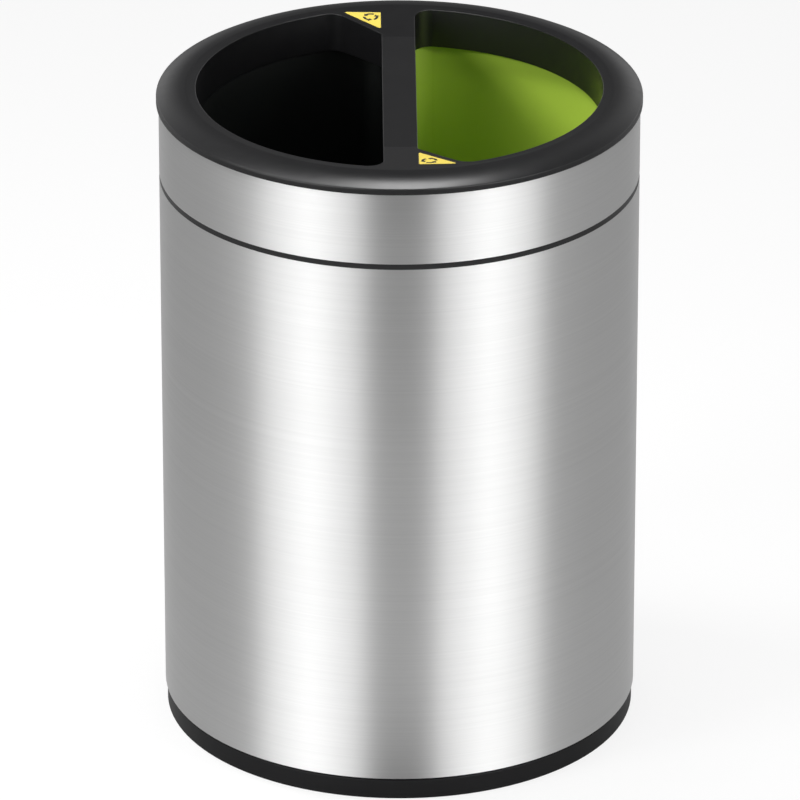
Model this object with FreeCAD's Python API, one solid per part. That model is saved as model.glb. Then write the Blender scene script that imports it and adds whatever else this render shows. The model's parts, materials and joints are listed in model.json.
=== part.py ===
import FreeCAD, Part
import math
import os

# Double recycling bin: a steel cylinder on a black base, two half-round buckets standing
# side by side in it, and a lift-off cover whose rim has one opening over each bucket.
# Millimetres. +Z is up, the origin is on the floor below the centre, -Y is the front,
# the black bucket is on the -X side and the green one on the +X side.

# ---------------------------------------------------------------- driving dimensions

# Steel skin of the body and of the cover
BODY_RADIUS = 150.0        # outside of both skins
SHEET = 0.6                # steel thickness
BODY_HEIGHT = 348.7        # steel of the body, foot to top edge
BAND_HEIGHT = 46.5         # steel of the cover
FOOT_FLANGE = 11.0         # body steel turned in at the bottom, from the outside
HEM_WIDTH = 2.0            # band steel turned in at the bottom, from the outside

# Base
FOOT_PROUD = 1.0           # rubber below the base's edge
BASE_BAND = 13.0           # height of the black ring that shows
BASE_INSET = 1.2           # how far the ring stands inside the skin
BASE_CHAMFER = 0.8
SHADOW_GAP = 1.3           # groove between ring and steel
NECK_INSET = 2.8           # depth of that groove from the skin's outside
BASE_WALL = 3.0
FLOOR_THICK = 2.5
RIB_THICK = 2.0
RIB_COUNT = 6
RIB_DEPTH = 9.0
KEEL_GAP = 0.5             # low bar that keeps the buckets apart on the floor, and its play
KEEL_HEIGHT = 8.0
KEEL_LENGTH = 200.0

# Rubber pads
PAD_COUNT = 4
PAD_LENGTH = 34.0
PAD_WIDTH = 12.0
PAD_THICK = 3.0
PAD_CHAMFER = 0.8
PAD_INSET = 18.0           # a pad's middle from the skin's outside
PAD_TURN = 45.0            # angle of the first pad

# Top ring of the body
BEAD_HEIGHT = 3.3          # the dark line between body and cover
RING_WALL = 2.4
SKIRT_DEPTH = 16.0
GUIDE_WIDTH = 2.0          # upstand that centres the cover
GUIDE_HEIGHT = 7.5
GUIDE_GAP = 0.4            # radial play of the cover on it
WEDGE_REACH = 14.0         # posts that stand between the buckets' corners
WEDGE_ROOT = 9.0
WEDGE_TIP = 3.0

# Cover
SEAM_GAP = 0.3             # between the bead and the cover
LOWER_RING_HEIGHT = 8.0
LOWER_RING_WIDTH = 7.2
LIP_OVERHANG = 1.5         # rim beyond the band
LIP_HEIGHT = 3.3
LIP_CHAMFER = 0.6
CREST_RISE = 5.4           # from the lip's top to the crest
CREST_EDGE = 6.2           # from the openings' edge out to the crest
CREST_WIDTH = 1.0          # flat top of the crest
PLATE_DROP = 3.7           # the divider's flat top lies this far below the crest
DISH_WIDTH = 44.0          # from the crest in to the flat top, along a shallow cone
RIM_WALL = 2.4
RIM_SHOULDER = 1.2         # from the slope's foot down to its underside
RIM_RIB_WIDTH = 2.0        # rib that holds the band's top edge
RIM_RIB_DEPTH = 7.0
DIVIDER_HALF = 10.5
OPENING_CORNER = 10.0
GUSSET_CUT = 45.2          # how far the gusset's edge cuts in along the divider
GUSSET_ROUND_INNER = 5.0
GUSSET_ROUND_OUTER = 12.0
COLLAR_WALL = 2.0
COLLAR_DEPTH = 22.1        # below the divider's top

# Stickers
LABEL_THICK = 0.35
LABEL_RECESS = 0.30
LABEL_PLAY = 0.15
LABEL_SIDE_EDGE = 0.5      # from the openings' flat edge to the side along the divider
LABEL_BACK_EDGE = 5.0      # from the openings' round edge to the side along the rim
LABEL_WIDTH = 23.5         # along the rim
LABEL_LENGTH = 22.5        # along the divider
LABEL_ROUND = 0.8
LABEL_SLANT = 2.2          # shift of the sharp corners for each unit of play

# Buckets
MOUTH_LAP = 5.0            # how far the collars reach down into the buckets
COLLAR_GAP = 2.2           # between a collar and the bucket's round wall
FLAT_GAP = 3.0             # between a collar and the bucket's flat wall
LIP_CLEAR = 0.7            # between the buckets' lips and the body's top ring
BUCKET_CORNER = 16.0
BUCKET_WALL = 2.0
BUCKET_FLOOR = 2.5
BUCKET_CHAMFER = 4.0       # round the bottom
BUCKET_SEAT_GAP = 0.3      # over the base's floor
LIP_WIDTH = 6.0
LIP_FLAT_WIDTH = 2.6       # the lip along the flat wall
LIP_THICK = 2.6

# Bails
PIVOT_X = 57.0             # over the middle of the bucket's weight
BAR_WIDTH = 3.8
BAR_HEIGHT = 5.0
BAR_TAIL = 3.5             # bar behind the pivot
BAR_STRAIGHT = 1.5         # straight bar past the lug, before the arc
PIN_RADIUS = 2.0
PIN_PLAY = 0.05
LUG_THICK = 3.2
LUG_RADIUS = 4.5
LUG_GAP = 0.4              # between a lug and the bail's bar
LUG_CLEAR = 0.8            # between a lug and the cover's collar
GRIP_WIDTH = 8.0
GRIP_HEIGHT = 9.0
GRIP_HALF_ANGLE = 24.0
GRIP_GAP = 0.3             # over the lip
GRIP_PLAY = 0.1
GRIP_OVERHANG = 0.5        # grip beyond the lip's edge

# Screws
SCREW_COUNT = 3
SCREW_RADIUS = 1.45
SCREW_PLAY = 0.05
SCREW_LENGTH = 14.0
HEAD_RADIUS = 2.6
HEAD_HEIGHT = 2.0
HEAD_PLAY = 0.2
BOSS_RADIUS = 3.0
BASE_BOSS_RADIUS = 4.0
BASE_BOSS_DEPTH = 9.0
BASE_SCREW_LENGTH = 9.0
BASE_SCREW_EDGE = 3.6      # screw's axis from the edge of the turned-in foot
SCREW_ROOM = 0.5           # hole beyond the screw's tip
SCREW_TURN = 90.0          # angle of the first screw

FIT = 0.1                  # play between parts that are pushed together
BITE = 1.0                 # how far cuts run past a face and joined blocks into each other
FAR = 20.0                 # how far a corner's cutter runs past it

# ---------------------------------------------------------------- levels and radii

SKIN_INSIDE = BODY_RADIUS - SHEET
BASE_BOTTOM = FOOT_PROUD
BASE_TOP = BASE_BOTTOM + BASE_BAND
SKIN_BOTTOM = BASE_TOP + SHADOW_GAP
FLOOR_TOP = SKIN_BOTTOM
SKIN_TOP = SKIN_BOTTOM + BODY_HEIGHT
BEAD_TOP = SKIN_TOP + BEAD_HEIGHT
COVER_BOTTOM = BEAD_TOP + SEAM_GAP
LOWER_RING_BOTTOM = COVER_BOTTOM + SHEET
LOWER_RING_TOP = LOWER_RING_BOTTOM + LOWER_RING_HEIGHT
HEAD_SEAT = LOWER_RING_BOTTOM + HEAD_HEIGHT + HEAD_PLAY
BAND_TOP = COVER_BOTTOM + BAND_HEIGHT
LIP_TOP = BAND_TOP + LIP_HEIGHT
CREST = LIP_TOP + CREST_RISE
PLATE = CREST - PLATE_DROP
COLLAR_BOTTOM = PLATE - COLLAR_DEPTH
BUCKET_BOTTOM = FLOOR_TOP + BUCKET_SEAT_GAP
BUCKET_TOP = COLLAR_BOTTOM + MOUTH_LAP
PIVOT_Z = BUCKET_TOP + GRIP_GAP + GRIP_HEIGHT / 2

FOOT_INSIDE = BODY_RADIUS - FOOT_FLANGE
BASE_RADIUS = BODY_RADIUS - BASE_INSET
BASE_SCREW_PITCH = FOOT_INSIDE + BASE_SCREW_EDGE
LIP_RADIUS = BODY_RADIUS + LIP_OVERHANG
RIB_RADIUS = SKIN_INSIDE - FIT
LOWER_RING_INSIDE = RIB_RADIUS - LOWER_RING_WIDTH
COVER_SCREW_PITCH = LOWER_RING_INSIDE + LOWER_RING_WIDTH / 2
GUIDE_RADIUS = LOWER_RING_INSIDE - GUIDE_GAP
BUCKET_RADIUS = GUIDE_RADIUS - GUIDE_WIDTH - LIP_CLEAR - LIP_WIDTH
BUCKET_FLAT = DIVIDER_HALF - COLLAR_WALL - FLAT_GAP - BUCKET_WALL
OPENING_RADIUS = BUCKET_RADIUS - BUCKET_WALL - COLLAR_GAP - COLLAR_WALL
GUSSET_OFFSET = OPENING_RADIUS - GUSSET_CUT
CREST_INSIDE = OPENING_RADIUS + CREST_EDGE - CREST_WIDTH / 2
DISH_INSIDE = CREST_INSIDE - DISH_WIDTH
PAD_PITCH = BODY_RADIUS - PAD_INSET
KEEL_WIDTH = 2 * (BUCKET_FLAT - KEEL_GAP)

UP = FreeCAD.Vector(0, 0, 1)
ORIGIN = FreeCAD.Vector(0, 0, 0)


# ---------------------------------------------------------------- small helpers

def point(x, y, z):
    return FreeCAD.Vector(x, y, z)


def outline(place, start, moves):
    """Closed wire. A move of two numbers is a line, one of four an arc through a point."""
    edges = []
    here = place(*start)
    for move in list(moves) + [start]:
        there = place(*move[-2:])
        if (there - here).Length < 1e-7:
            continue
        if len(move) == 4:
            edges.append(Part.Arc(here, place(*move[:2]), there).toShape())
        else:
            edges.append(Part.LineSegment(here, there).toShape())
        here = there
    return Part.Wire(edges)


def turned(start, moves):
    """Solid of revolution about Z from an outline in radius and height."""
    wire = outline(lambda r, z: point(r, 0, z), start, moves)
    return Part.Face(wire).revolve(ORIGIN, UP, 360)


def prism(start, moves, low, high):
    """Upright solid from a plan outline."""
    wire = outline(lambda x, y: point(x, y, low), start, moves)
    return Part.Face(wire).extrude(point(0, 0, high - low))


def round_bar(radius, x, y, low, high):
    return Part.makeCylinder(radius, high - low, point(x, y, low), UP)


def on_circle(radius, degrees):
    angle = math.radians(degrees)
    return radius * math.cos(angle), radius * math.sin(angle)


def spaced(count, first):
    return [first + 360.0 * i / count for i in range(count)]


def upright_edges(shape, near, reach):
    """Vertical edges of a shape that pass within reach of a plan position."""
    found = []
    for edge in shape.Edges:
        a = edge.Vertexes[0].Point
        b = edge.Vertexes[-1].Point
        upright = math.hypot(a.x - b.x, a.y - b.y) < 1e-6 and abs(a.z - b.z) > 1e-6
        if upright and math.hypot(a.x - near[0], a.y - near[1]) < reach:
            found.append(edge)
    return found


def half_turn(shape):
    turned_copy = shape.copy()
    turned_copy.rotate(ORIGIN, UP, 180)
    return turned_copy


# ---------------------------------------------------------------- half-round outlines

def half_round_moves(radius, flat, corner):
    """Start point and moves of a D: a flat at x = flat, an arc about Z, rounded corners."""
    corner_x = flat + corner
    corner_y = math.sqrt((radius - corner) ** 2 - corner_x ** 2)
    reach = radius / (radius - corner)
    end_x = corner_x * reach
    end_y = corner_y * reach
    turn = (math.pi + math.atan2(corner_y, corner_x)) / 2
    mid_x = corner_x + corner * math.cos(turn)
    mid_y = corner_y + corner * math.sin(turn)
    start = (flat, -corner_y)
    moves = [
        (mid_x, -mid_y, end_x, -end_y),
        (radius, 0, end_x, end_y),
        (mid_x, mid_y, flat, corner_y),
    ]
    return start, moves


def half_round_prism(radius, flat, corner, low, high):
    start, moves = half_round_moves(radius, flat, corner)
    return prism(start, moves, low, high)


def opening_prism(grow, low, high):
    """The cover's opening on the +X side, grown by a wall, with its gusset corner cut off."""
    radius = OPENING_RADIUS + grow
    flat = DIVIDER_HALF - grow
    offset = GUSSET_OFFSET + grow * math.sqrt(2)
    solid = half_round_prism(radius, flat, OPENING_CORNER + grow, low, high)
    near = flat - FAR
    far = radius + FAR
    cutter = prism(
        (near, -(near + offset)),
        [(far, -(far + offset)), (near, -(far + offset))],
        low,
        high,
    )
    solid = solid.cut(cutter)
    arc_x = (math.sqrt(2 * radius ** 2 - offset ** 2) - offset) / 2
    inner_edge = upright_edges(solid, (flat, -(flat + offset)), BITE)
    solid = solid.makeFillet(GUSSET_ROUND_INNER + grow, inner_edge)
    outer_edge = upright_edges(solid, (arc_x, -(arc_x + offset)), BITE)
    return solid.makeFillet(GUSSET_ROUND_OUTER + grow, outer_edge)


# ---------------------------------------------------------------- body

def body_shell():
    """Steel cylinder with its foot turned in, pierced for the base screws."""
    foot_level = SKIN_BOTTOM + SHEET
    shell = turned(
        (FOOT_INSIDE, SKIN_BOTTOM),
        [
            (BODY_RADIUS, SKIN_BOTTOM),
            (BODY_RADIUS, SKIN_TOP),
            (SKIN_INSIDE, SKIN_TOP),
            (SKIN_INSIDE, foot_level),
            (FOOT_INSIDE, foot_level),
        ],
    )
    holes = screw_holes(BASE_SCREW_PITCH, SKIN_BOTTOM - BITE, foot_level + BITE)
    return shell.cut(holes)


def base_pan():
    """Moulded base: outer ring, neck under the steel's foot, floor, keel, ribs and bosses."""
    neck = BODY_RADIUS - NECK_INSET
    ring_inside = BASE_RADIUS - BASE_WALL
    under_floor = FLOOR_TOP - FLOOR_THICK
    pan = turned(
        (0, under_floor),
        [
            (ring_inside, under_floor),
            (ring_inside, BASE_BOTTOM),
            (BASE_RADIUS, BASE_BOTTOM),
            (BASE_RADIUS, BASE_TOP - BASE_CHAMFER),
            (BASE_RADIUS - BASE_CHAMFER, BASE_TOP),
            (neck, BASE_TOP),
            (neck, SKIN_BOTTOM),
            (0, SKIN_BOTTOM),
        ],
    )
    pieces = []
    for degrees in spaced(RIB_COUNT // 2, 0.0):
        rib = Part.makeBox(
            2 * ring_inside + BASE_WALL,
            RIB_THICK,
            RIB_DEPTH + FLOOR_THICK / 2,
            point(-ring_inside - BASE_WALL / 2, -RIB_THICK / 2, under_floor - RIB_DEPTH),
        )
        rib.rotate(ORIGIN, UP, degrees)
        pieces.append(rib)
    for degrees in spaced(SCREW_COUNT, SCREW_TURN):
        x, y = on_circle(BASE_SCREW_PITCH, degrees)
        pieces.append(round_bar(BASE_BOSS_RADIUS, x, y, SKIN_BOTTOM - BASE_BOSS_DEPTH, SKIN_BOTTOM - BITE))
    block_length = PAD_LENGTH + 2 * BASE_WALL
    block_width = PAD_WIDTH + 2 * BASE_WALL
    for degrees in spaced(PAD_COUNT, PAD_TURN):
        block = pad_block(block_length, block_width, PAD_THICK, under_floor + BITE)
        block.rotate(ORIGIN, UP, degrees)
        pieces.append(block)
    keel_low = FLOOR_TOP - FLOOR_THICK / 2
    pieces.append(
        Part.makeBox(
            KEEL_WIDTH,
            KEEL_LENGTH,
            KEEL_HEIGHT + FLOOR_THICK / 2,
            point(-KEEL_WIDTH / 2, -KEEL_LENGTH / 2, keel_low),
        )
    )
    pan = pan.multiFuse(pieces)
    depth = BASE_SCREW_LENGTH - SHEET + SCREW_ROOM
    return pan.cut(screw_holes(BASE_SCREW_PITCH, SKIN_BOTTOM - depth, SKIN_BOTTOM + BITE)).removeSplitter()


def pad_block(length, width, low, high):
    """Block on the +X axis at the pads' pitch, its length across the radius."""
    corner = point(PAD_PITCH - width / 2, -length / 2, low)
    return Part.makeBox(width, length, high - low, corner)


def foot_pad(degrees):
    """Rubber pad stuck under a block of the base, its lower edges bevelled."""
    pad = pad_block(PAD_LENGTH, PAD_WIDTH, 0, PAD_THICK)
    low_edges = [edge for edge in pad.Edges if edge.BoundBox.ZMax < 1e-6]
    pad = pad.makeChamfer(PAD_CHAMFER, low_edges)
    pad.rotate(ORIGIN, UP, degrees)
    return pad


def body_top_ring():
    """Ring in the body's mouth: skirt, bead over the steel's edge, guide for the cover."""
    outside = SKIN_INSIDE - FIT
    bead = BODY_RADIUS - FIT
    guide_in = GUIDE_RADIUS - GUIDE_WIDTH
    skirt_low = SKIN_TOP - SKIRT_DEPTH
    ring = turned(
        (outside, skirt_low),
        [
            (outside, SKIN_TOP),
            (bead, SKIN_TOP),
            (bead, BEAD_TOP),
            (GUIDE_RADIUS, BEAD_TOP),
            (GUIDE_RADIUS, BEAD_TOP + GUIDE_HEIGHT),
            (guide_in, BEAD_TOP + GUIDE_HEIGHT),
            (guide_in, BEAD_TOP - RING_WALL),
            (outside - RING_WALL, skirt_low),
        ],
    )
    root_y = outside - RING_WALL / 2 - BITE
    tip_y = guide_in - WEDGE_REACH
    wedges = []
    for side in (-1, 1):
        start = (-WEDGE_ROOT, side * root_y)
        moves = [(WEDGE_ROOT, side * root_y), (WEDGE_TIP, side * tip_y), (-WEDGE_TIP, side * tip_y)]
        wedges.append(prism(start, moves, skirt_low, BEAD_TOP))
    return ring.multiFuse(wedges).removeSplitter()


# ---------------------------------------------------------------- cover

def cover_band():
    """Steel band with its lower edge turned in."""
    hem_inside = BODY_RADIUS - HEM_WIDTH
    return turned(
        (hem_inside, COVER_BOTTOM),
        [
            (BODY_RADIUS, COVER_BOTTOM),
            (BODY_RADIUS, BAND_TOP),
            (SKIN_INSIDE, BAND_TOP),
            (SKIN_INSIDE, LOWER_RING_BOTTOM),
            (hem_inside, LOWER_RING_BOTTOM),
        ],
    )


def cover_lower_ring():
    """Ring that traps the band's hem, with a six-sided pocket for each screw's head."""
    ring = turned(
        (LOWER_RING_INSIDE, LOWER_RING_BOTTOM),
        [
            (RIB_RADIUS, LOWER_RING_BOTTOM),
            (RIB_RADIUS, LOWER_RING_TOP),
            (LOWER_RING_INSIDE, LOWER_RING_TOP),
        ],
    )
    ring = ring.cut(screw_holes(COVER_SCREW_PITCH, LOWER_RING_BOTTOM, LOWER_RING_TOP + BITE))
    seat = six_sided(HEAD_RADIUS + HEAD_PLAY, LOWER_RING_BOTTOM - HEAD_SEAT - BITE, 0)
    return ring.cut(ring_of_screws(seat, COVER_SCREW_PITCH, HEAD_SEAT))


def rim_blank():
    """Turned blank of the rim: lip, convex slope, crest, and a top dished down to a flat middle."""
    crest_out = CREST_INSIDE + CREST_WIDTH
    slope_out = LIP_RADIUS - LIP_CHAMFER
    slope_low = LIP_TOP + LIP_CHAMFER
    run = slope_out - crest_out
    fall = CREST - slope_low
    bow = (run ** 2 + fall ** 2) / (2 * fall)
    half = math.asin(run / bow) / 2
    slope_mid = (crest_out + bow * math.sin(half), CREST - bow + bow * math.cos(half))
    rib_in = RIB_RADIUS - RIM_RIB_WIDTH
    under_out = slope_low - RIM_SHOULDER
    return turned(
        (LIP_RADIUS, BAND_TOP),
        [
            (LIP_RADIUS, LIP_TOP),
            (slope_out, slope_low),
            (slope_mid[0], slope_mid[1], crest_out, CREST),
            (CREST_INSIDE, CREST),
            (DISH_INSIDE, PLATE),
            (0, PLATE),
            (0, PLATE - RIM_WALL),
            (DISH_INSIDE, PLATE - RIM_WALL),
            (CREST_INSIDE, CREST - RIM_WALL),
            (rib_in, under_out),
            (rib_in, BAND_TOP - RIM_RIB_DEPTH),
            (RIB_RADIUS, BAND_TOP - RIM_RIB_DEPTH),
            (RIB_RADIUS, BAND_TOP),
        ],
    )


def dish_layer(low, high):
    """Turned layer that follows the dished top, between two heights measured from it."""
    return turned(
        (DISH_INSIDE, PLATE + low),
        [(CREST_INSIDE, CREST + low), (CREST_INSIDE, CREST + high), (DISH_INSIDE, PLATE + high)],
    )


def label_outline(shrink):
    """Start and moves of the rounded right triangle on the +X, -Y gusset."""
    side = DIVIDER_HALF + LABEL_SIDE_EDGE
    back = OPENING_RADIUS - LABEL_BACK_EDGE
    tip = side + LABEL_WIDTH - LABEL_SLANT * shrink
    foot = -(back - LABEL_LENGTH + LABEL_SLANT * shrink)
    side = side + shrink
    back = -(back - shrink)
    return (side, back), [(tip, back), (side, foot)]


def label_solid(shrink, low, high):
    """Rounded triangle that lies on the dished top, between two heights measured from it."""
    start, moves = label_outline(shrink)
    solid = prism(start, moves, PLATE - BITE, CREST + BITE)
    corners = [edge for edge in solid.Edges if abs(edge.Vertexes[0].Z - edge.Vertexes[-1].Z) > 1e-6]
    return solid.makeFillet(LABEL_ROUND, corners).common(dish_layer(low, high))


def collar_blank():
    """The +X opening's collar before it is hollowed, trimmed inside the dished wall above it."""
    mid_wall = -RIM_WALL / 2
    over = CREST + BITE
    sky = turned(
        (0, PLATE + mid_wall),
        [
            (DISH_INSIDE, PLATE + mid_wall),
            (CREST_INSIDE, CREST + mid_wall),
            (CREST_INSIDE, over),
            (0, over),
        ],
    )
    return opening_prism(COLLAR_WALL, COLLAR_BOTTOM, CREST).cut(sky)


def cover_rim():
    """The cover's moulding: blank, two collars, openings with gussets, screw bosses."""
    collar = collar_blank()
    pieces = [collar, half_turn(collar)]
    for degrees in spaced(SCREW_COUNT, SCREW_TURN):
        x, y = on_circle(COVER_SCREW_PITCH, degrees)
        pieces.append(round_bar(BOSS_RADIUS, x, y, LOWER_RING_TOP, LIP_TOP + LIP_CHAMFER))
    rim = rim_blank().multiFuse(pieces)
    opening = opening_prism(0, COLLAR_BOTTOM - BITE, CREST + BITE)
    recess = label_solid(-LABEL_PLAY, -LABEL_RECESS, BITE)
    tip_level = HEAD_SEAT + SCREW_LENGTH + SCREW_ROOM
    holes = screw_holes(COVER_SCREW_PITCH, LOWER_RING_TOP - BITE, tip_level)
    rim = rim.cut(Part.makeCompound([opening, half_turn(opening), recess, half_turn(recess), holes]))
    return rim.removeSplitter()


# ---------------------------------------------------------------- buckets

def lug_y():
    """|y| of the middle of a lug, whose inner corner just clears the cover's collar."""
    corner = OPENING_RADIUS + COLLAR_WALL + LUG_CLEAR
    return math.sqrt(corner ** 2 - (PIVOT_X - LUG_RADIUS) ** 2) + LUG_THICK / 2


def tub(shrink, low):
    """The bucket's outside, or its hollow when shrunk by the wall, from a height up to the mouth."""
    radius = BUCKET_RADIUS - shrink
    return half_round_prism(radius, BUCKET_FLAT + shrink, BUCKET_CORNER - shrink, low, BUCKET_TOP)


def bucket():
    """Half-round bucket on the +X side: wall, floor, lip, two lugs."""
    outside = tub(0, BUCKET_BOTTOM)
    low_edges = [e for e in outside.Edges if e.BoundBox.ZMax < BUCKET_BOTTOM + 1e-3]
    outside = outside.makeChamfer(BUCKET_CHAMFER, low_edges)
    lip = half_round_prism(
        BUCKET_RADIUS + LIP_WIDTH,
        BUCKET_FLAT - LIP_FLAT_WIDTH,
        BUCKET_CORNER + LIP_FLAT_WIDTH,
        BUCKET_TOP - LIP_THICK,
        BUCKET_TOP,
    )
    solid = outside.fuse(lip).cut(tub(BUCKET_WALL, BUCKET_BOTTOM + BUCKET_FLOOR))
    middle = lug_y()
    along = point(0, 1, 0)
    for side in (-1, 1):
        low_y = side * middle - LUG_THICK / 2
        post = Part.makeBox(
            2 * LUG_RADIUS,
            LUG_THICK,
            PIVOT_Z - BUCKET_TOP + LIP_THICK / 2,
            point(PIVOT_X - LUG_RADIUS, low_y, BUCKET_TOP - LIP_THICK / 2),
        )
        head = Part.makeCylinder(LUG_RADIUS, LUG_THICK, point(PIVOT_X, low_y, PIVOT_Z), along)
        bore_start = point(PIVOT_X, low_y - BITE, PIVOT_Z)
        bore = Part.makeCylinder(PIN_RADIUS + PIN_PLAY, LUG_THICK + 2 * BITE, bore_start, along)
        solid = solid.fuse(post.fuse(head)).cut(bore)
    return solid.removeSplitter()


def bail_arc():
    """Centre and radius of the bail's long arc, and the |y| of the bar's middle at the pivot."""
    reach = BUCKET_RADIUS + LIP_WIDTH + GRIP_OVERHANG - GRIP_WIDTH / 2
    bar_y = lug_y() + LUG_THICK / 2 + LUG_GAP + BAR_WIDTH / 2
    turn_x = PIVOT_X + LUG_RADIUS + BAR_STRAIGHT
    centre = (reach ** 2 - turn_x ** 2 - bar_y ** 2) / (2 * (reach - turn_x))
    return centre, reach - centre, bar_y


def bail():
    """Flat bar folded over the lip of the +X bucket, with a pin into each lug."""
    centre, radius, bar_y = bail_arc()
    half = BAR_WIDTH / 2
    outer_y = bar_y + half
    inner_y = bar_y - half
    outer_x = centre + math.sqrt((radius + half) ** 2 - outer_y ** 2)
    inner_x = centre + math.sqrt((radius - half) ** 2 - inner_y ** 2)
    tail_x = PIVOT_X - BAR_TAIL
    bar = prism(
        (tail_x, -outer_y),
        [
            (outer_x, -outer_y),
            (centre + radius + half, 0, outer_x, outer_y),
            (tail_x, outer_y),
            (tail_x, inner_y),
            (inner_x, inner_y),
            (centre + radius - half, 0, inner_x, -inner_y),
            (tail_x, -inner_y),
        ],
        PIVOT_Z - BAR_HEIGHT / 2,
        PIVOT_Z + BAR_HEIGHT / 2,
    )
    pins = []
    for side in (-1, 1):
        start = point(PIVOT_X, side * bar_y, PIVOT_Z)
        length = half + LUG_GAP + LUG_THICK
        pins.append(Part.makeCylinder(PIN_RADIUS, length, start, point(0, -side, 0)))
    return bar.multiFuse(pins).removeSplitter()


def bar_sector(half_width, half_height, half_angle):
    """Arched bar about the bail's arc, between two angles either side of +X."""
    centre, radius, _ = bail_arc()
    outer = radius + half_width
    inner = radius - half_width
    low_x, low_y = math.cos(half_angle), math.sin(half_angle)
    return prism(
        (centre + inner * low_x, -inner * low_y),
        [
            (centre + outer * low_x, -outer * low_y),
            (centre + outer, 0, centre + outer * low_x, outer * low_y),
            (centre + inner * low_x, inner * low_y),
            (centre + inner, 0, centre + inner * low_x, -inner * low_y),
        ],
        PIVOT_Z - half_height,
        PIVOT_Z + half_height,
    )


def grip():
    """Sleeve on the middle of the bail."""
    angle = math.radians(GRIP_HALF_ANGLE)
    sleeve = bar_sector(GRIP_WIDTH / 2, GRIP_HEIGHT / 2, angle)
    slot = bar_sector(BAR_WIDTH / 2 + GRIP_PLAY, BAR_HEIGHT / 2 + GRIP_PLAY, 2 * angle)
    return sleeve.cut(slot)


# ---------------------------------------------------------------- screws

def six_sided(radius, low, high):
    corners = [on_circle(radius, degrees) for degrees in spaced(6, 0.0)]
    return prism(corners[0], corners[1:], low, high)


def screw(length):
    """Hexagon screw, shank up, the head's upper side at the origin."""
    head = six_sided(HEAD_RADIUS, -HEAD_HEIGHT, 0)
    return head.fuse(six_sided(SCREW_RADIUS, -HEAD_HEIGHT / 2, length))


def screw_holes(pitch, low, high):
    """Clearance holes of one ring of screws, as one compound to cut with."""
    holes = []
    for degrees in spaced(SCREW_COUNT, SCREW_TURN):
        x, y = on_circle(pitch, degrees)
        holes.append(round_bar(SCREW_RADIUS + SCREW_PLAY, x, y, low, high))
    return Part.makeCompound(holes)


def ring_of_screws(one, pitch, level):
    screws = []
    for degrees in spaced(SCREW_COUNT, SCREW_TURN):
        x, y = on_circle(pitch, degrees)
        placed = one.copy()
        placed.translate(point(x, y, level))
        screws.append(placed)
    return Part.makeCompound(screws)


def cover_screws():
    return ring_of_screws(screw(SCREW_LENGTH), COVER_SCREW_PITCH, HEAD_SEAT)


def base_screws():
    one = screw(BASE_SCREW_LENGTH)
    one.rotate(ORIGIN, point(1, 0, 0), 180)
    return ring_of_screws(one, BASE_SCREW_PITCH, SKIN_BOTTOM + SHEET)


# ---------------------------------------------------------------- whole bin

def build():
    green = bucket()
    wire = bail()
    sleeve = grip()
    label = label_solid(0, -LABEL_RECESS, LABEL_THICK - LABEL_RECESS)
    nodes = {
        "body_shell": body_shell(),
        "base_pan": base_pan(),
        "base_screws": base_screws(),
        "body_top_ring": body_top_ring(),
        "cover_band": cover_band(),
        "cover_rim": cover_rim(),
        "cover_lower_ring": cover_lower_ring(),
        "cover_screws": cover_screws(),
        "label_front": label,
        "label_rear": half_turn(label),
        "green_bucket": green,
        "black_bucket": half_turn(green),
        "green_bail": wire,
        "black_bail": half_turn(wire),
        "green_grip": sleeve,
        "black_grip": half_turn(sleeve),
    }
    for index, degrees in enumerate(spaced(PAD_COUNT, PAD_TURN)):
        nodes[f"foot_pad_{index + 1}"] = foot_pad(degrees)
    return nodes


os.makedirs("parts", exist_ok=True)
for name, shape in build().items():
    shape.exportStep(f"parts/{name}.step")
    print(name, "valid", shape.isValid(), "solids", len(shape.Solids), "volume", round(shape.Volume))
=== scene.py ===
import json
import math

import bmesh
import bpy
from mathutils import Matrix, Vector
from mathutils.bvhtree import BVHTree

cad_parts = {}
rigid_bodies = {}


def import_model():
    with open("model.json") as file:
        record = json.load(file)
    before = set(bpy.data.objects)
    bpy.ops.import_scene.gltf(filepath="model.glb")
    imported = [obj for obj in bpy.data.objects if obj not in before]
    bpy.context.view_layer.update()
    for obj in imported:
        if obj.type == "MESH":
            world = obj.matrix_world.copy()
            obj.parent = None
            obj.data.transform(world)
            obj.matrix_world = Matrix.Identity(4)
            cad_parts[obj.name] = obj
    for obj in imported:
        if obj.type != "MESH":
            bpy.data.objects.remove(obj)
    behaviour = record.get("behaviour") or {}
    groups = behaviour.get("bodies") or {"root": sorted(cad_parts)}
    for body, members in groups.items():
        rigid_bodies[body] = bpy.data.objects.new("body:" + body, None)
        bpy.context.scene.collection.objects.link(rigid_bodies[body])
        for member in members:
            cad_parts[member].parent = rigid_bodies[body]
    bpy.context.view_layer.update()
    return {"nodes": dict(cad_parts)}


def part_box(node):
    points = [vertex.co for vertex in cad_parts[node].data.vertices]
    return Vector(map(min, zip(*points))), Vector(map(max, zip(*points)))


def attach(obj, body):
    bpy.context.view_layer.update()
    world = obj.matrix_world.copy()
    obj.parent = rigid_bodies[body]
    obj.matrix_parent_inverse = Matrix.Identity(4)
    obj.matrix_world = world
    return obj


# Double recycling bin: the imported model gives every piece, this script gives the finishes,
# the printed arrows on the two labels, the light, the floor and the camera.
# Metres. +Z is up, -Y is the front.

# ---------------------------------------------------------------- camera

CAMERA_LENS = 377.86           # mm on the sensor's width
CAMERA_SENSOR = 36.0
CAMERA_DISTANCE = 5.3106
CAMERA_ELEVATION = 24.91       # degrees above the horizon
CAMERA_AZIMUTH = -0.45         # degrees, towards -X
CAMERA_AIM = (0.00034, 0.0, 0.20716)
CAMERA_NEAR = 0.1
CAMERA_FAR = 200.0

# ---------------------------------------------------------------- arrows on the labels

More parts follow.
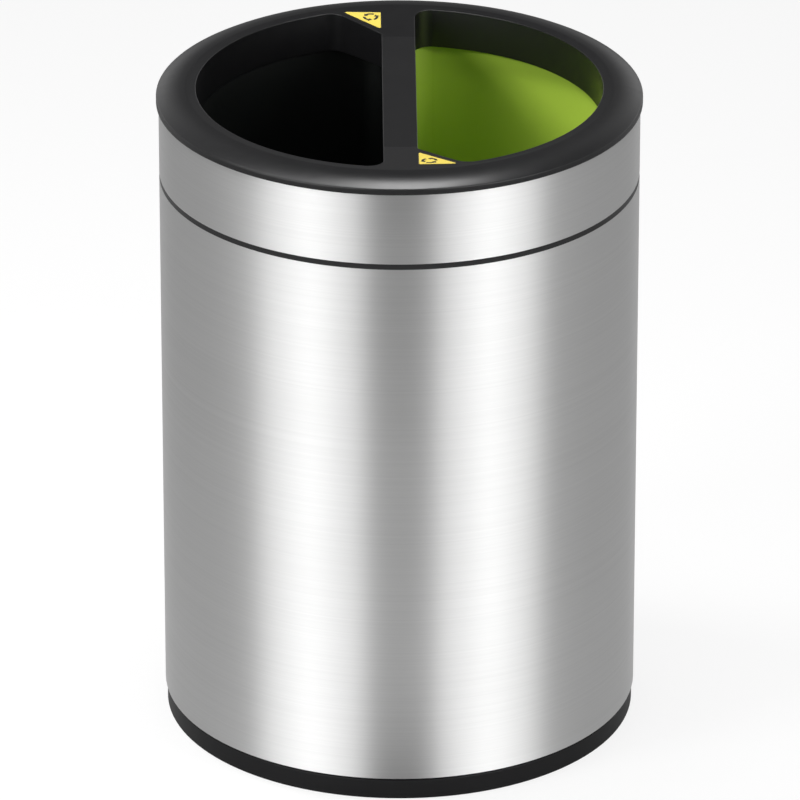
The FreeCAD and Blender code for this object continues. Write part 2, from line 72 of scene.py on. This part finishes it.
INK_THICK = 0.00004
INK_SUNK = 0.00002             # how far the ink's underside is in the label
ARROW_RING_RADIUS = 0.0041     # middle of the arrows' band
ARROW_BAND = 0.0017
ARROW_SWEEP = 72.0             # degrees of band for each arrow
ARROW_HEAD = 32.0              # degrees of head beyond the band
ARROW_HEAD_WIDTH = 0.0040
ARROW_COUNT = 3
ARROW_STEPS = 10
RAY_START = 0.01               # above the label's top

# ---------------------------------------------------------------- finishes

STEEL = ((0.69, 0.69, 0.688), (0.75, 0.75, 0.748))
STEEL_ROUGH = (0.47, 0.52)
STEEL_FINE = (4.0, 4.0, 3200.0)      # grooves run round the cylinder: long in X and Y, fine in Z
STEEL_BROAD = (2.5, 2.5, 600.0)
STEEL_CLOUD = (14.0, 14.0, 10.0)
STEEL_BROAD_SHARE = 0.42
STEEL_GROOVE = 0.06                  # strength of the bump
STEEL_BRUSH_TURN = 0.25              # share of a turn from the tangent

BUMP_DEPTH = 0.0001
PLASTIC_IOR = 1.5
FLOW_SCALE = 22.0                    # noise scales, in features for each metre
WEAR_SCALE = 140.0
FILM_TINT_SCALE = 260.0
FILM_GLOSS_SCALE = 90.0
FILM_PEEL_SCALE = 900.0
METAL_TINT_SCALE = 500.0
METAL_GLOSS_SCALE = 1400.0
FILM_SPREAD = 0.04                   # unevenness of the roughness, each way
METAL_SPREAD = 0.08
FILM_PEEL = 0.06                     # strength of the bump

# Light colour, dark colour, roughness, and what differs from the usual moulding. An edge is
# how far the light eases round a sharp corner.
MOULDINGS = {
    "black_moulding": ((0.0075, 0.0075, 0.008), (0.006, 0.006, 0.0065), 0.33, {}),
    "black_rim_moulding": (
        (0.0065, 0.0065, 0.007), (0.005, 0.005, 0.0055), 0.31, {"edge": 0.0007},
    ),
    "black_base_moulding": (
        (0.0055, 0.0055, 0.006), (0.004, 0.004, 0.0045), 0.42, {"edge": 0.0008, "specular": 0.2},
    ),
    "black_bucket_moulding": ((0.0024, 0.0034, 0.0030), (0.002, 0.0028, 0.0025), 0.5, {}),
    "green_moulding": (
        (0.40, 0.56, 0.062), (0.37, 0.53, 0.057), 0.48, {"grain": 0.06, "spread": 0.04},
    ),
    "bail_coating": (
        (0.020, 0.020, 0.021), (0.014, 0.014, 0.015), 0.38, {"grain": 0.10, "pit_scale": 2600.0},
    ),
    "rubber_pad": ((0.030, 0.030, 0.030), (0.022, 0.022, 0.022), 0.75, {"grain": 0.25}),
    "label_ink": ((0.016, 0.015, 0.014), (0.012, 0.011, 0.010), 0.5, {"grain": 0.03}),
}
LABEL_YELLOW = ((0.61, 0.485, 0.085), (0.585, 0.465, 0.080), 0.38)
SCREW_ZINC = ((0.62, 0.63, 0.64), (0.52, 0.53, 0.54), 0.35)

FINISH_OF = {
    "body_shell": "brushed_steel",
    "cover_band": "brushed_steel",
    "cover_rim": "black_rim_moulding",
    "base_pan": "black_base_moulding",
    "body_top_ring": "black_moulding",
    "cover_lower_ring": "black_moulding",
    "green_grip": "black_moulding",
    "black_grip": "black_moulding",
    "green_bucket": "green_moulding",
    "black_bucket": "black_bucket_moulding",
    "green_bail": "bail_coating",
    "black_bail": "bail_coating",
    "base_screws": "screw_zinc",
    "cover_screws": "screw_zinc",
    "label_front": "label_yellow",
    "label_rear": "label_yellow",
}

# ---------------------------------------------------------------- floor and light

WHITE = (1.0, 1.0, 1.0, 1.0)
FLOOR_HALF = 30.0
FLOOR_COLOUR = (0.88, 0.88, 0.88, 1.0)
FLOOR_GLOW_SHARE = 0.85              # where the floor is seen or mirrored; the rest takes light
FLOOR_REACH = 2.5                    # the distance that is 1 in the two lists below
FLOOR_CENTRE = (0.0, 0.0, 0.0)
# Painted glow that gloss mirrors: its level by distance from the bin, then the place and levels of
# a painted pool of light in front of the bin.
FLOOR_MIRRORED = [(0.0, 0.36), (0.15, 0.38), (0.30, 0.38), (0.42, 0.22), (1.0, 0.18)]
FLOOR_LIGHT_POOL = (0.0, -0.40, 0.0)
FLOOR_LIGHT_POOL_MIRRORED = [(0.0, 1.9), (0.03, 1.9), (0.10, 0.0)]

# What gloss mirrors of the surround. By turn from the front, 1 being the back: a dark gap,
# a bright panel on each side, a dim back. By height: 1 is overhead.
WORLD_BY_TURN = [
    (0.0, 0.0), (0.067, 0.0), (0.121, 4.6), (0.24, 7.6), (0.32, 5.6),
    (0.43, 1.4), (0.60, 1.05), (0.75, 0.86), (0.87, 1.05), (1.0, 0.13),
]
WORLD_BY_HEIGHT = [(0.0, 1.0), (0.22, 0.95), (0.5, 0.34), (0.8, 0.16), (1.0, 0.12)]

# Name, place, aim, size, watts, and whether gloss mirrors the lamp.
LAMPS = [
    ("overhead", (0.02, 0.06, 1.75), (0.0, 0.0, 0.4), (0.48, 0.72), 13.5, True),
    ("strip_left", (-0.62, 0.12, 1.60), (0.0, 0.0, 0.4), (0.25, 0.8), 3.5, True),
    ("fill_left", (-0.75, 0.32, 1.50), (0.0, 0.0, 0.4), (0.3, 0.6), 12.0, False),
    ("key_left", (-1.3, -0.9, 1.35), (0.0, 0.0, 0.4), (0.5, 0.5), 16.0, False),
    ("key_right", (1.3, -0.9, 1.35), (0.0, 0.0, 0.4), (0.5, 0.5), 11.0, False),
    ("front_left", (-1.5, -1.7, 0.55), (0.0, 0.0, 0.3), (1.0, 0.8), 12.0, False),
    ("front_right", (1.5, -1.7, 0.55), (0.0, 0.0, 0.3), (1.0, 0.8), 12.0, False),
]


# ---------------------------------------------------------------- shader helpers

def feed(tree, made, inputs):
    """Fills a node's inputs: a socket is linked, anything else is set on the input itself."""
    for key, value in inputs.items():
        if isinstance(value, bpy.types.NodeSocket):
            tree.links.new(value, made.inputs[key])
        else:
            made.inputs[key].default_value = value


def maker(tree):
    """The function that adds a node to a tree, with its settings and inputs."""
    def node(kind, settings=None, inputs=None):
        made = tree.nodes.new(kind)
        for key, value in (settings or {}).items():
            setattr(made, key, value)
        feed(tree, made, inputs or {})
        return made

    return node


def new_material(name):
    """A material, its nodes' maker, and a function that fills its shader's inputs."""
    material = bpy.data.materials.new(name)
    material.use_nodes = True
    tree = material.node_tree
    shader = tree.nodes["Principled BSDF"]
    return material, maker(tree), lambda inputs: feed(tree, shader, inputs)


def object_place(node):
    return node("ShaderNodeTexCoord").outputs["Object"]


def stretched(node, scale):
    """Object coordinates, scaled by axis."""
    inputs = {"Vector": object_place(node), "Scale": scale}
    return node("ShaderNodeMapping", inputs=inputs).outputs["Vector"]


def noise(node, vector, scale, detail=3.0, rough=0.5):
    inputs = {"Vector": vector, "Scale": scale, "Detail": detail, "Roughness": rough}
    return node("ShaderNodeTexNoise", inputs=inputs).outputs["Fac"]


def maths(node, operation, *values):
    inputs = dict(enumerate(values))
    return node("ShaderNodeMath", {"operation": operation}, inputs).outputs[0]


def blend(node, share, low, high):
    inputs = {0: share, 2: low, 3: high}
    return node("ShaderNodeMix", {"data_type": "FLOAT"}, inputs).outputs[0]


def span(node, value, low, high):
    """Maps 0..1 to low..high."""
    inputs = {"Value": value, "To Min": low, "To Max": high}
    return node("ShaderNodeMapRange", inputs=inputs).outputs["Result"]


def ramp(node, value, stops):
    """A colour ramp over (position, colour) stops."""
    made = node("ShaderNodeValToRGB", inputs={"Fac": value})
    elements = made.color_ramp.elements
    while len(elements) < len(stops):
        elements.new(0.5)
    for element, (position, colour) in zip(elements, stops):
        element.position = position
        element.color = (*colour, 1.0)
    return made


def level(node, value, stops):
    """An eased light level over (position, level) stops. A ramp holds 0..1, so it is scaled."""
    top = max(height for _, height in stops)
    made = ramp(node, value, [(position, (height / top,) * 3) for position, height in stops])
    made.color_ramp.interpolation = "EASE"
    return maths(node, "MULTIPLY", made.outputs["Color"], top)


def bumped(node, height, strength, normal=None):
    """The normal of a finely uneven surface."""
    inputs = {"Strength": strength, "Distance": BUMP_DEPTH, "Height": height}
    if normal:
        inputs["Normal"] = normal
    return node("ShaderNodeBump", inputs=inputs).outputs["Normal"]


# ---------------------------------------------------------------- materials

def brushed_steel():
    """Stainless sheet with fine grooves that run round the cylinder."""
    material, node, shade = new_material("brushed_steel")
    fine = noise(node, stretched(node, STEEL_FINE), 1.0, 4.0, 0.6)
    broad = noise(node, stretched(node, STEEL_BROAD), 1.0, 3.0, 0.55)
    cloud = noise(node, stretched(node, STEEL_CLOUD), 1.0, 2.0)
    grooves = blend(node, STEEL_BROAD_SHARE, fine, broad)
    tangent = node("ShaderNodeTangent", {"direction_type": "RADIAL", "axis": "Z"})
    shade({
        "Base Color": ramp(node, grooves, [(0.3, STEEL[0]), (0.7, STEEL[1])]).outputs["Color"],
        "Roughness": span(node, cloud, *STEEL_ROUGH),
        "Normal": bumped(node, grooves, STEEL_GROOVE),
        "Tangent": tangent.outputs["Tangent"],
        "Metallic": 1.0,
        "Anisotropic": 1.0,
        "Anisotropic Rotation": STEEL_BRUSH_TURN,
    })
    return material


def moulded(
    name, light, dark, rough, grain=0.12, spread=0.05, pit_scale=1900.0, edge=0.0, specular=0.5,
):
    """Moulded plastic: a fine eroded grain, faint flow clouding and an uneven satin gloss."""
    material, node, shade = new_material(name)
    place = object_place(node)
    cloud = noise(node, place, FLOW_SCALE)
    wear = noise(node, place, WEAR_SCALE, 4.0, 0.6)
    pits = noise(node, place, pit_scale, 2.0)
    soft = None
    if edge:
        soft = node("ShaderNodeBevel", {"samples": 6}, {"Radius": edge}).outputs["Normal"]
    shade({
        "Base Color": ramp(node, cloud, [(0.25, dark), (0.75, light)]).outputs["Color"],
        "Roughness": span(node, wear, rough - spread, rough + spread),
        "Normal": bumped(node, pits, grain, soft),
        "IOR": PLASTIC_IOR,
        "Specular IOR Level": specular,
    })
    return material


def printed_film(name, light, dark, rough):
    """Sticker film: nearly even colour, a slight orange peel in the gloss."""
    material, node, shade = new_material(name)
    place = object_place(node)
    tint = ramp(node, noise(node, place, FILM_TINT_SCALE), [(0.3, dark), (0.7, light)])
    gloss = noise(node, place, FILM_GLOSS_SCALE)
    shade({
        "Base Color": tint.outputs["Color"],
        "Roughness": span(node, gloss, rough - FILM_SPREAD, rough + FILM_SPREAD),
        "Normal": bumped(node, noise(node, place, FILM_PEEL_SCALE), FILM_PEEL),
    })
    return material


def plain_metal(name, light, dark, rough):
    """Small zinc plated pieces."""
    material, node, shade = new_material(name)
    place = object_place(node)
    tint = ramp(node, noise(node, place, METAL_TINT_SCALE), [(0.3, dark), (0.7, light)])
    gloss = noise(node, place, METAL_GLOSS_SCALE)
    shade({
        "Base Color": tint.outputs["Color"],
        "Roughness": span(node, gloss, rough - METAL_SPREAD, rough + METAL_SPREAD),
        "Metallic": 1.0,
    })
    return material


def finishes():
    """Every material, by the name that FINISH_OF gives it."""
    made = {
        name: moulded(name, light, dark, rough, **differs)
        for name, (light, dark, rough, differs) in MOULDINGS.items()
    }
    made["brushed_steel"] = brushed_steel()
    made["label_yellow"] = printed_film("label_yellow", *LABEL_YELLOW)
    made["screw_zinc"] = plain_metal("screw_zinc", *SCREW_ZINC)
    return made


def dress(materials):
    for name, node in frame["nodes"].items():
        finish = "rubber_pad" if name.startswith("foot_pad") else FINISH_OF[name]
        node.data.materials.clear()
        node.data.materials.append(materials[finish])


# ---------------------------------------------------------------- arrows on the labels

def arrow_faces(start):
    """Plan points and faces of one bent arrow about the origin: its band, then its head."""
    def at(radius, degrees):
        angle = math.radians(degrees)
        return radius * math.cos(angle), radius * math.sin(angle)

    points, faces = [], []
    for step in range(ARROW_STEPS + 1):
        angle = start + ARROW_SWEEP * step / ARROW_STEPS
        points.append(at(ARROW_RING_RADIUS + ARROW_BAND / 2, angle))
        points.append(at(ARROW_RING_RADIUS - ARROW_BAND / 2, angle))
    for first in range(0, 2 * ARROW_STEPS, 2):
        faces.append((first, first + 2, first + 3, first + 1))
    end = start + ARROW_SWEEP
    outer = len(points)
    points += [
        at(ARROW_RING_RADIUS + ARROW_HEAD_WIDTH / 2, end),
        at(ARROW_RING_RADIUS - ARROW_HEAD_WIDTH / 2, end),
        at(ARROW_RING_RADIUS, end + ARROW_HEAD),
    ]
    faces.append((outer, outer + 2, outer + 1, outer - 1, outer - 2))
    return points, faces


def add_printed(builder, points, faces, height):
    """Thin ink over a plan shape: a top and an underside that follow the surface, and its edge."""
    under, top = (
        [builder.verts.new((x, y, height(x, y) + lift)) for x, y in points]
        for lift in (-INK_SUNK, INK_THICK)
    )
    for face in faces:
        builder.faces.new([top[i] for i in face])
        builder.faces.new([under[i] for i in reversed(face)])
    sides = [side for face in faces for side in zip(face, face[1:] + face[:1])]
    for here, there in sides:
        if (there, here) not in sides:
            builder.faces.new((top[there], top[here], under[here], under[there]))


def arrow_ring(name, label, side, ink):
    """Three arrows that chase each other, printed on the wide part of a label's sloping face."""
    low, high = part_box(label)
    legs = (high.x - low.x, high.y - low.y)
    inset = (sum(legs) - math.hypot(*legs)) / 2
    corner = (low.x, low.y) if side > 0 else (high.x, high.y)
    centre = (corner[0] + side * inset, corner[1] + side * inset)
    film = frame["nodes"][label].data
    surface = BVHTree.FromPolygons(
        [vertex.co for vertex in film.vertices],
        [polygon.vertices for polygon in film.polygons],
    )
    down = Vector((0.0, 0.0, -1.0))

    def height(x, y):
        return surface.ray_cast(Vector((x, y, high.z + RAY_START)), down)[0].z

    builder = bmesh.new()
    for index in range(ARROW_COUNT):
        points, faces = arrow_faces(360.0 * index / ARROW_COUNT + (0 if side > 0 else 180))
        placed = [(centre[0] + x, centre[1] + y) for x, y in points]
        add_printed(builder, placed, faces, height)
    bmesh.ops.recalc_face_normals(builder, faces=builder.faces)
    mesh = bpy.data.meshes.new(name)
    builder.to_mesh(mesh)
    builder.free()
    mesh.materials.append(ink)
    piece = bpy.data.objects.new(name, mesh)
    bpy.context.scene.collection.objects.link(piece)
    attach(piece, "cover")
    return piece


# ---------------------------------------------------------------- studio

def world_light():
    """The surround that gloss mirrors. It lights no matt colour: the lamps do that."""
    world = bpy.data.worlds.new("studio")
    bpy.context.scene.world = world
    world.use_nodes = True
    world.cycles_visibility.diffuse = False
    tree = world.node_tree
    node = maker(tree)
    place = node("ShaderNodeTexCoord").outputs["Generated"]
    parts = node("ShaderNodeSeparateXYZ", inputs={"Vector": place}).outputs
    forward = maths(node, "MULTIPLY", parts["Y"], -1.0)
    side = maths(node, "ABSOLUTE", maths(node, "ARCTAN2", parts["X"], forward))
    turn = maths(node, "DIVIDE", side, math.pi)
    panels = level(node, turn, WORLD_BY_TURN)
    heights = level(node, parts["Z"], WORLD_BY_HEIGHT)
    strength = maths(node, "MULTIPLY", panels, heights)
    feed(tree, tree.nodes["Background"], {"Color": WHITE, "Strength": strength})


def area_light(name, place, aim, size, watts, mirrored):
    light = bpy.data.lights.new(name, "AREA")
    light.shape = "RECTANGLE"
    light.size, light.size_y = size
    light.energy = watts
    lamp = bpy.data.objects.new(name, light)
    lamp.location = place
    lamp.rotation_euler = (Vector(aim) - Vector(place)).to_track_quat("-Z", "Y").to_euler()
    lamp.visible_glossy = mirrored
    bpy.context.scene.collection.objects.link(lamp)


def floor_material():
    """White where it is seen. Mirrored, it shows a painted glow: dimmer away from the bin, with a
    painted pool of light in front of the bin.
    """
    material = bpy.data.materials.new("floor_white")
    material.use_nodes = True
    tree = material.node_tree
    tree.nodes.clear()
    node = maker(tree)
    place = object_place(node)

    def mirrored(centre, stops):
        inputs = {0: place, 1: centre}
        far = node("ShaderNodeVectorMath", {"operation": "DISTANCE"}, inputs).outputs["Value"]
        return level(node, maths(node, "DIVIDE", far, FLOOR_REACH), stops)

    # Painted glow for reflections: fading away from the bin, plus a painted pool of light in front
    # of it.
    around = mirrored(FLOOR_CENTRE, FLOOR_MIRRORED)
    light_pool = mirrored(FLOOR_LIGHT_POOL, FLOOR_LIGHT_POOL_MIRRORED)
    path = node("ShaderNodeLightPath").outputs
    strength = blend(node, path["Is Camera Ray"], maths(node, "MAXIMUM", around, light_pool), 1.0)
    seen = path["Is Camera Ray"]
    for ray in ("Is Glossy Ray", "Is Transmission Ray"):
        seen = maths(node, "MAXIMUM", seen, path[ray])
    share = maths(node, "MULTIPLY", seen, FLOOR_GLOW_SHARE)
    matt = node("ShaderNodeBsdfDiffuse", inputs={"Color": FLOOR_COLOUR}).outputs[0]
    glow = node("ShaderNodeEmission", inputs={"Color": WHITE, "Strength": strength}).outputs[0]
    mixed = node("ShaderNodeMixShader", inputs={0: share, 1: matt, 2: glow}).outputs[0]
    node("ShaderNodeOutputMaterial", inputs={"Surface": mixed})
    return material


def floor():
    """Plain white floor that keeps the bin's soft shadow."""
    half = FLOOR_HALF
    corners = [(-half, -half, 0), (half, -half, 0), (half, half, 0), (-half, half, 0)]
    mesh = bpy.data.meshes.new("floor")
    mesh.from_pydata(corners, [], [(0, 1, 2, 3)])
    mesh.materials.append(floor_material())
    piece = bpy.data.objects.new("floor", mesh)
    bpy.context.scene.collection.objects.link(piece)


def camera():
    data = bpy.data.cameras.new("camera")
    data.lens = CAMERA_LENS
    data.sensor_width = CAMERA_SENSOR
    data.clip_start = CAMERA_NEAR
    data.clip_end = CAMERA_FAR
    eye = bpy.data.objects.new("camera", data)
    bpy.context.scene.collection.objects.link(eye)
    turn = math.radians(CAMERA_AZIMUTH)
    rise = math.radians(CAMERA_ELEVATION)
    back = Vector((
        math.sin(turn) * math.cos(rise),
        -math.cos(turn) * math.cos(rise),
        math.sin(rise),
    ))
    eye.location = Vector(CAMERA_AIM) + back * CAMERA_DISTANCE
    eye.rotation_euler = (-back).to_track_quat("-Z", "Y").to_euler()
    bpy.context.scene.camera = eye


# ---------------------------------------------------------------- scene

for leftover in list(bpy.data.objects):
    bpy.data.objects.remove(leftover)
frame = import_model()
materials = finishes()
dress(materials)
arrow_ring("label_front_arrows", "label_front", 1, materials["label_ink"])
arrow_ring("label_rear_arrows", "label_rear", -1, materials["label_ink"])
floor()
world_light()
for lamp in LAMPS:
    area_light(*lamp)
camera()

bpy.context.scene.view_settings.view_transform = "Standard"
